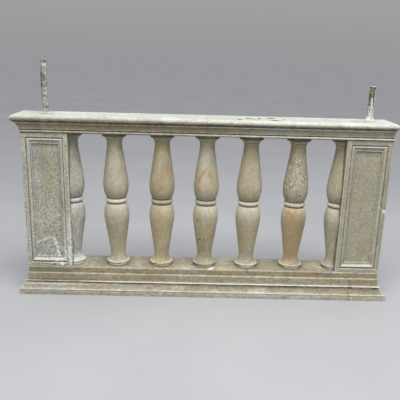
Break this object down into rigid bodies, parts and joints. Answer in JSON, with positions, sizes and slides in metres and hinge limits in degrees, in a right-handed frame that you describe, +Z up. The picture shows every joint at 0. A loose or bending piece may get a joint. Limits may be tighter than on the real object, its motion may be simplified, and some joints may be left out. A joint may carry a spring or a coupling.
{
  "type": "stone balustrade",
  "caption": "Free-standing stone balustrade bay: double-vase balusters between panelled piers on a moulded base, under a moulded coping with rusty pipe stubs.",
  "frame": {"origin": "centre of the base's underside", "axes": "+X along the balustrade, -Y its front, +Z up"},
  "size_m": [1.8835, 0.243, 1.16],
  "materials": {
    "base_stone": "weathered olive-brown sandstone, matt, with pale worn arrises (stands in for stone)",
    "pier_stone": "weathered grey-green sandstone, matt and mottled (stands in for stone)",
    "baluster_stone": "weathered olive-buff sandstone with ochre stains, matt (stands in for stone)",
    "coping_stone": "pale lichened sandstone on top, olive-brown below, matt (stands in for stone)",
    "rusty_iron": "rusted iron pipe with pale mortar crust",
    "mortar": "rough pale grey mortar"
  },
  "bodies": {
    "root": {"footing_left": "base_stone", "footing_right": "base_stone", "plinth_left": "base_stone", "plinth_middle": "base_stone", "plinth_right": "base_stone", "pier_left": "pier_stone", "pier_right": "pier_stone", "baluster_1": "baluster_stone", "baluster_2": "baluster_stone", "baluster_3": "baluster_stone", "baluster_4": "baluster_stone", "baluster_5": "baluster_stone", "half_baluster_left": "baluster_stone", "half_baluster_right": "baluster_stone", "coping_left": "coping_stone", "coping_right": "coping_stone", "pipe_left": "rusty_iron", "pipe_right": "rusty_iron", "pipe_mortar_left": "mortar", "pipe_mortar_right": "mortar"}
  },
  "joints": []
}
